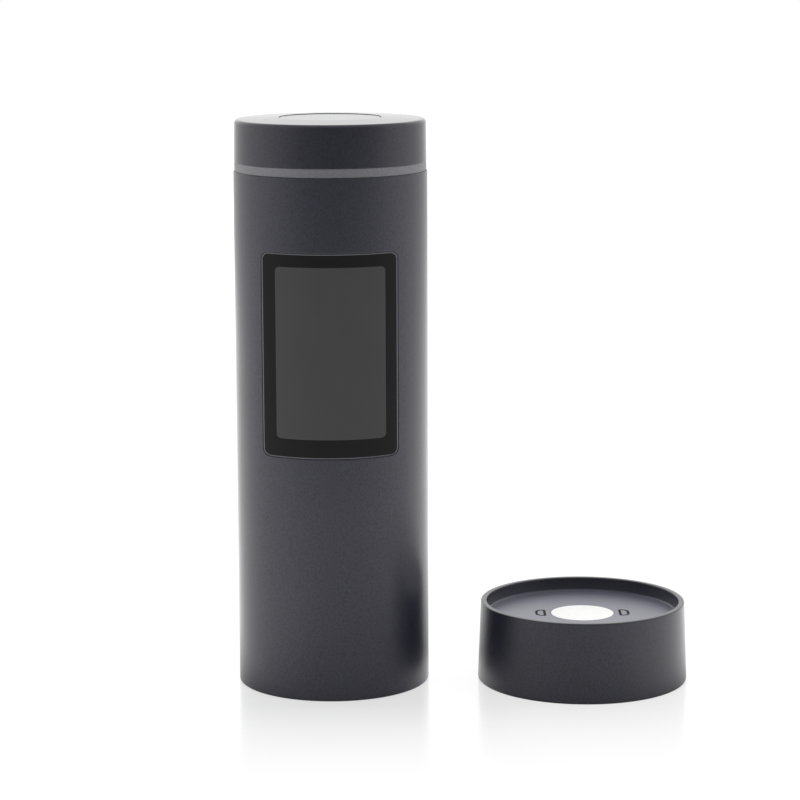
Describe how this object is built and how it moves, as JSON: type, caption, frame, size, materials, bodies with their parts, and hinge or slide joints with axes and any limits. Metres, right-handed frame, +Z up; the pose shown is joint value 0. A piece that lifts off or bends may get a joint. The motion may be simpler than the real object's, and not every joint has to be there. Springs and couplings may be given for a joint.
{
  "type": "color difference meter",
  "caption": "Cylindrical hand-held color difference meter with a curved display window and a top button, and its calibration cap with a white tile beside it.",
  "frame": {"origin": "middle of the meter's foot, on the surface that it stands on", "axes": "+Z up the barrel, -Y the way the display faces, +X from the meter to its calibration cap"},
  "size_m": [0.0803, 0.0374, 0.1008],
  "materials": {
    "matt_coat": "fine matt black coat",
    "window_pane": "polished, black printed border",
    "black_foam": "fine foam",
    "black_plastic": "fine matt",
    "display_glass": "dark glass",
    "screw_steel": "plain",
    "ring_metal": "anodised grey",
    "cap_plastic": "fine matt",
    "button_plastic": "fine matt",
    "silicone": "moulded",
    "circuit_board": "solder mask",
    "chip_black": "moulded",
    "socket_steel": "plain",
    "battery_foil": "foil",
    "base_metal": "anodised black",
    "magnet_nickel": "nickel plated",
    "white_ptfe": "matt white",
    "lamp_resin": "resin",
    "lens_glass": "polished",
    "cap_shell_plastic": "fine matt",
    "white_ceramic": "polished white"
  },
  "bodies": {
    "meter": {"barrel": "matt_coat", "display_window": "window_pane", "window_gasket": "black_foam", "display_carrier": "black_plastic", "display_panel": "display_glass", "display_cushion": "black_foam", "carrier_screws": "screw_steel", "trim_ring": "ring_metal", "top_cap": "cap_plastic", "tact_switch": "screw_steel", "return_membrane": "silicone", "button_board": "circuit_board", "head_frame": "black_plastic", "head_screws": "screw_steel", "hub_screws": "screw_steel", "chassis": "black_plastic", "main_board": "circuit_board", "board_components": "chip_black", "board_screws": "screw_steel", "usb_socket": "socket_steel", "battery": "battery_foil", "battery_tape": "black_foam", "base_plate": "base_metal", "base_magnets": "magnet_nickel", "base_screws": "screw_steel", "aperture_insert": "white_ptfe", "sphere_lower": "white_ptfe", "sphere_upper": "white_ptfe", "lamp_board": "circuit_board", "lamps": "lamp_resin", "sensor_tube": "black_plastic", "sensor_lens": "lens_glass", "sensor_board": "circuit_board"},
    "measure_button": {"measure_button": "button_plastic", "switch_plunger": "black_plastic"},
    "calibration_cap": {"cap_shell": "cap_shell_plastic", "white_tile": "white_ceramic", "tile_retainer": "black_plastic", "retainer_screws": "screw_steel", "cap_magnets": "magnet_nickel", "cap_base": "cap_shell_plastic", "cap_screws": "screw_steel"}
  },
  "joints": [
    {"name": "button_press", "type": "slide", "parent": "meter", "child": "measure_button", "axis": [0, 0, -1], "range_m": [0, 0.0005], "stiffness_N_per_m": 1200, "deforming": ["return_membrane"]},
    {"name": "cap_lift", "type": "slide", "parent": "meter", "child": "calibration_cap", "axis": [0, 0, 1], "range_m": [0, 0.05]}
  ]
}
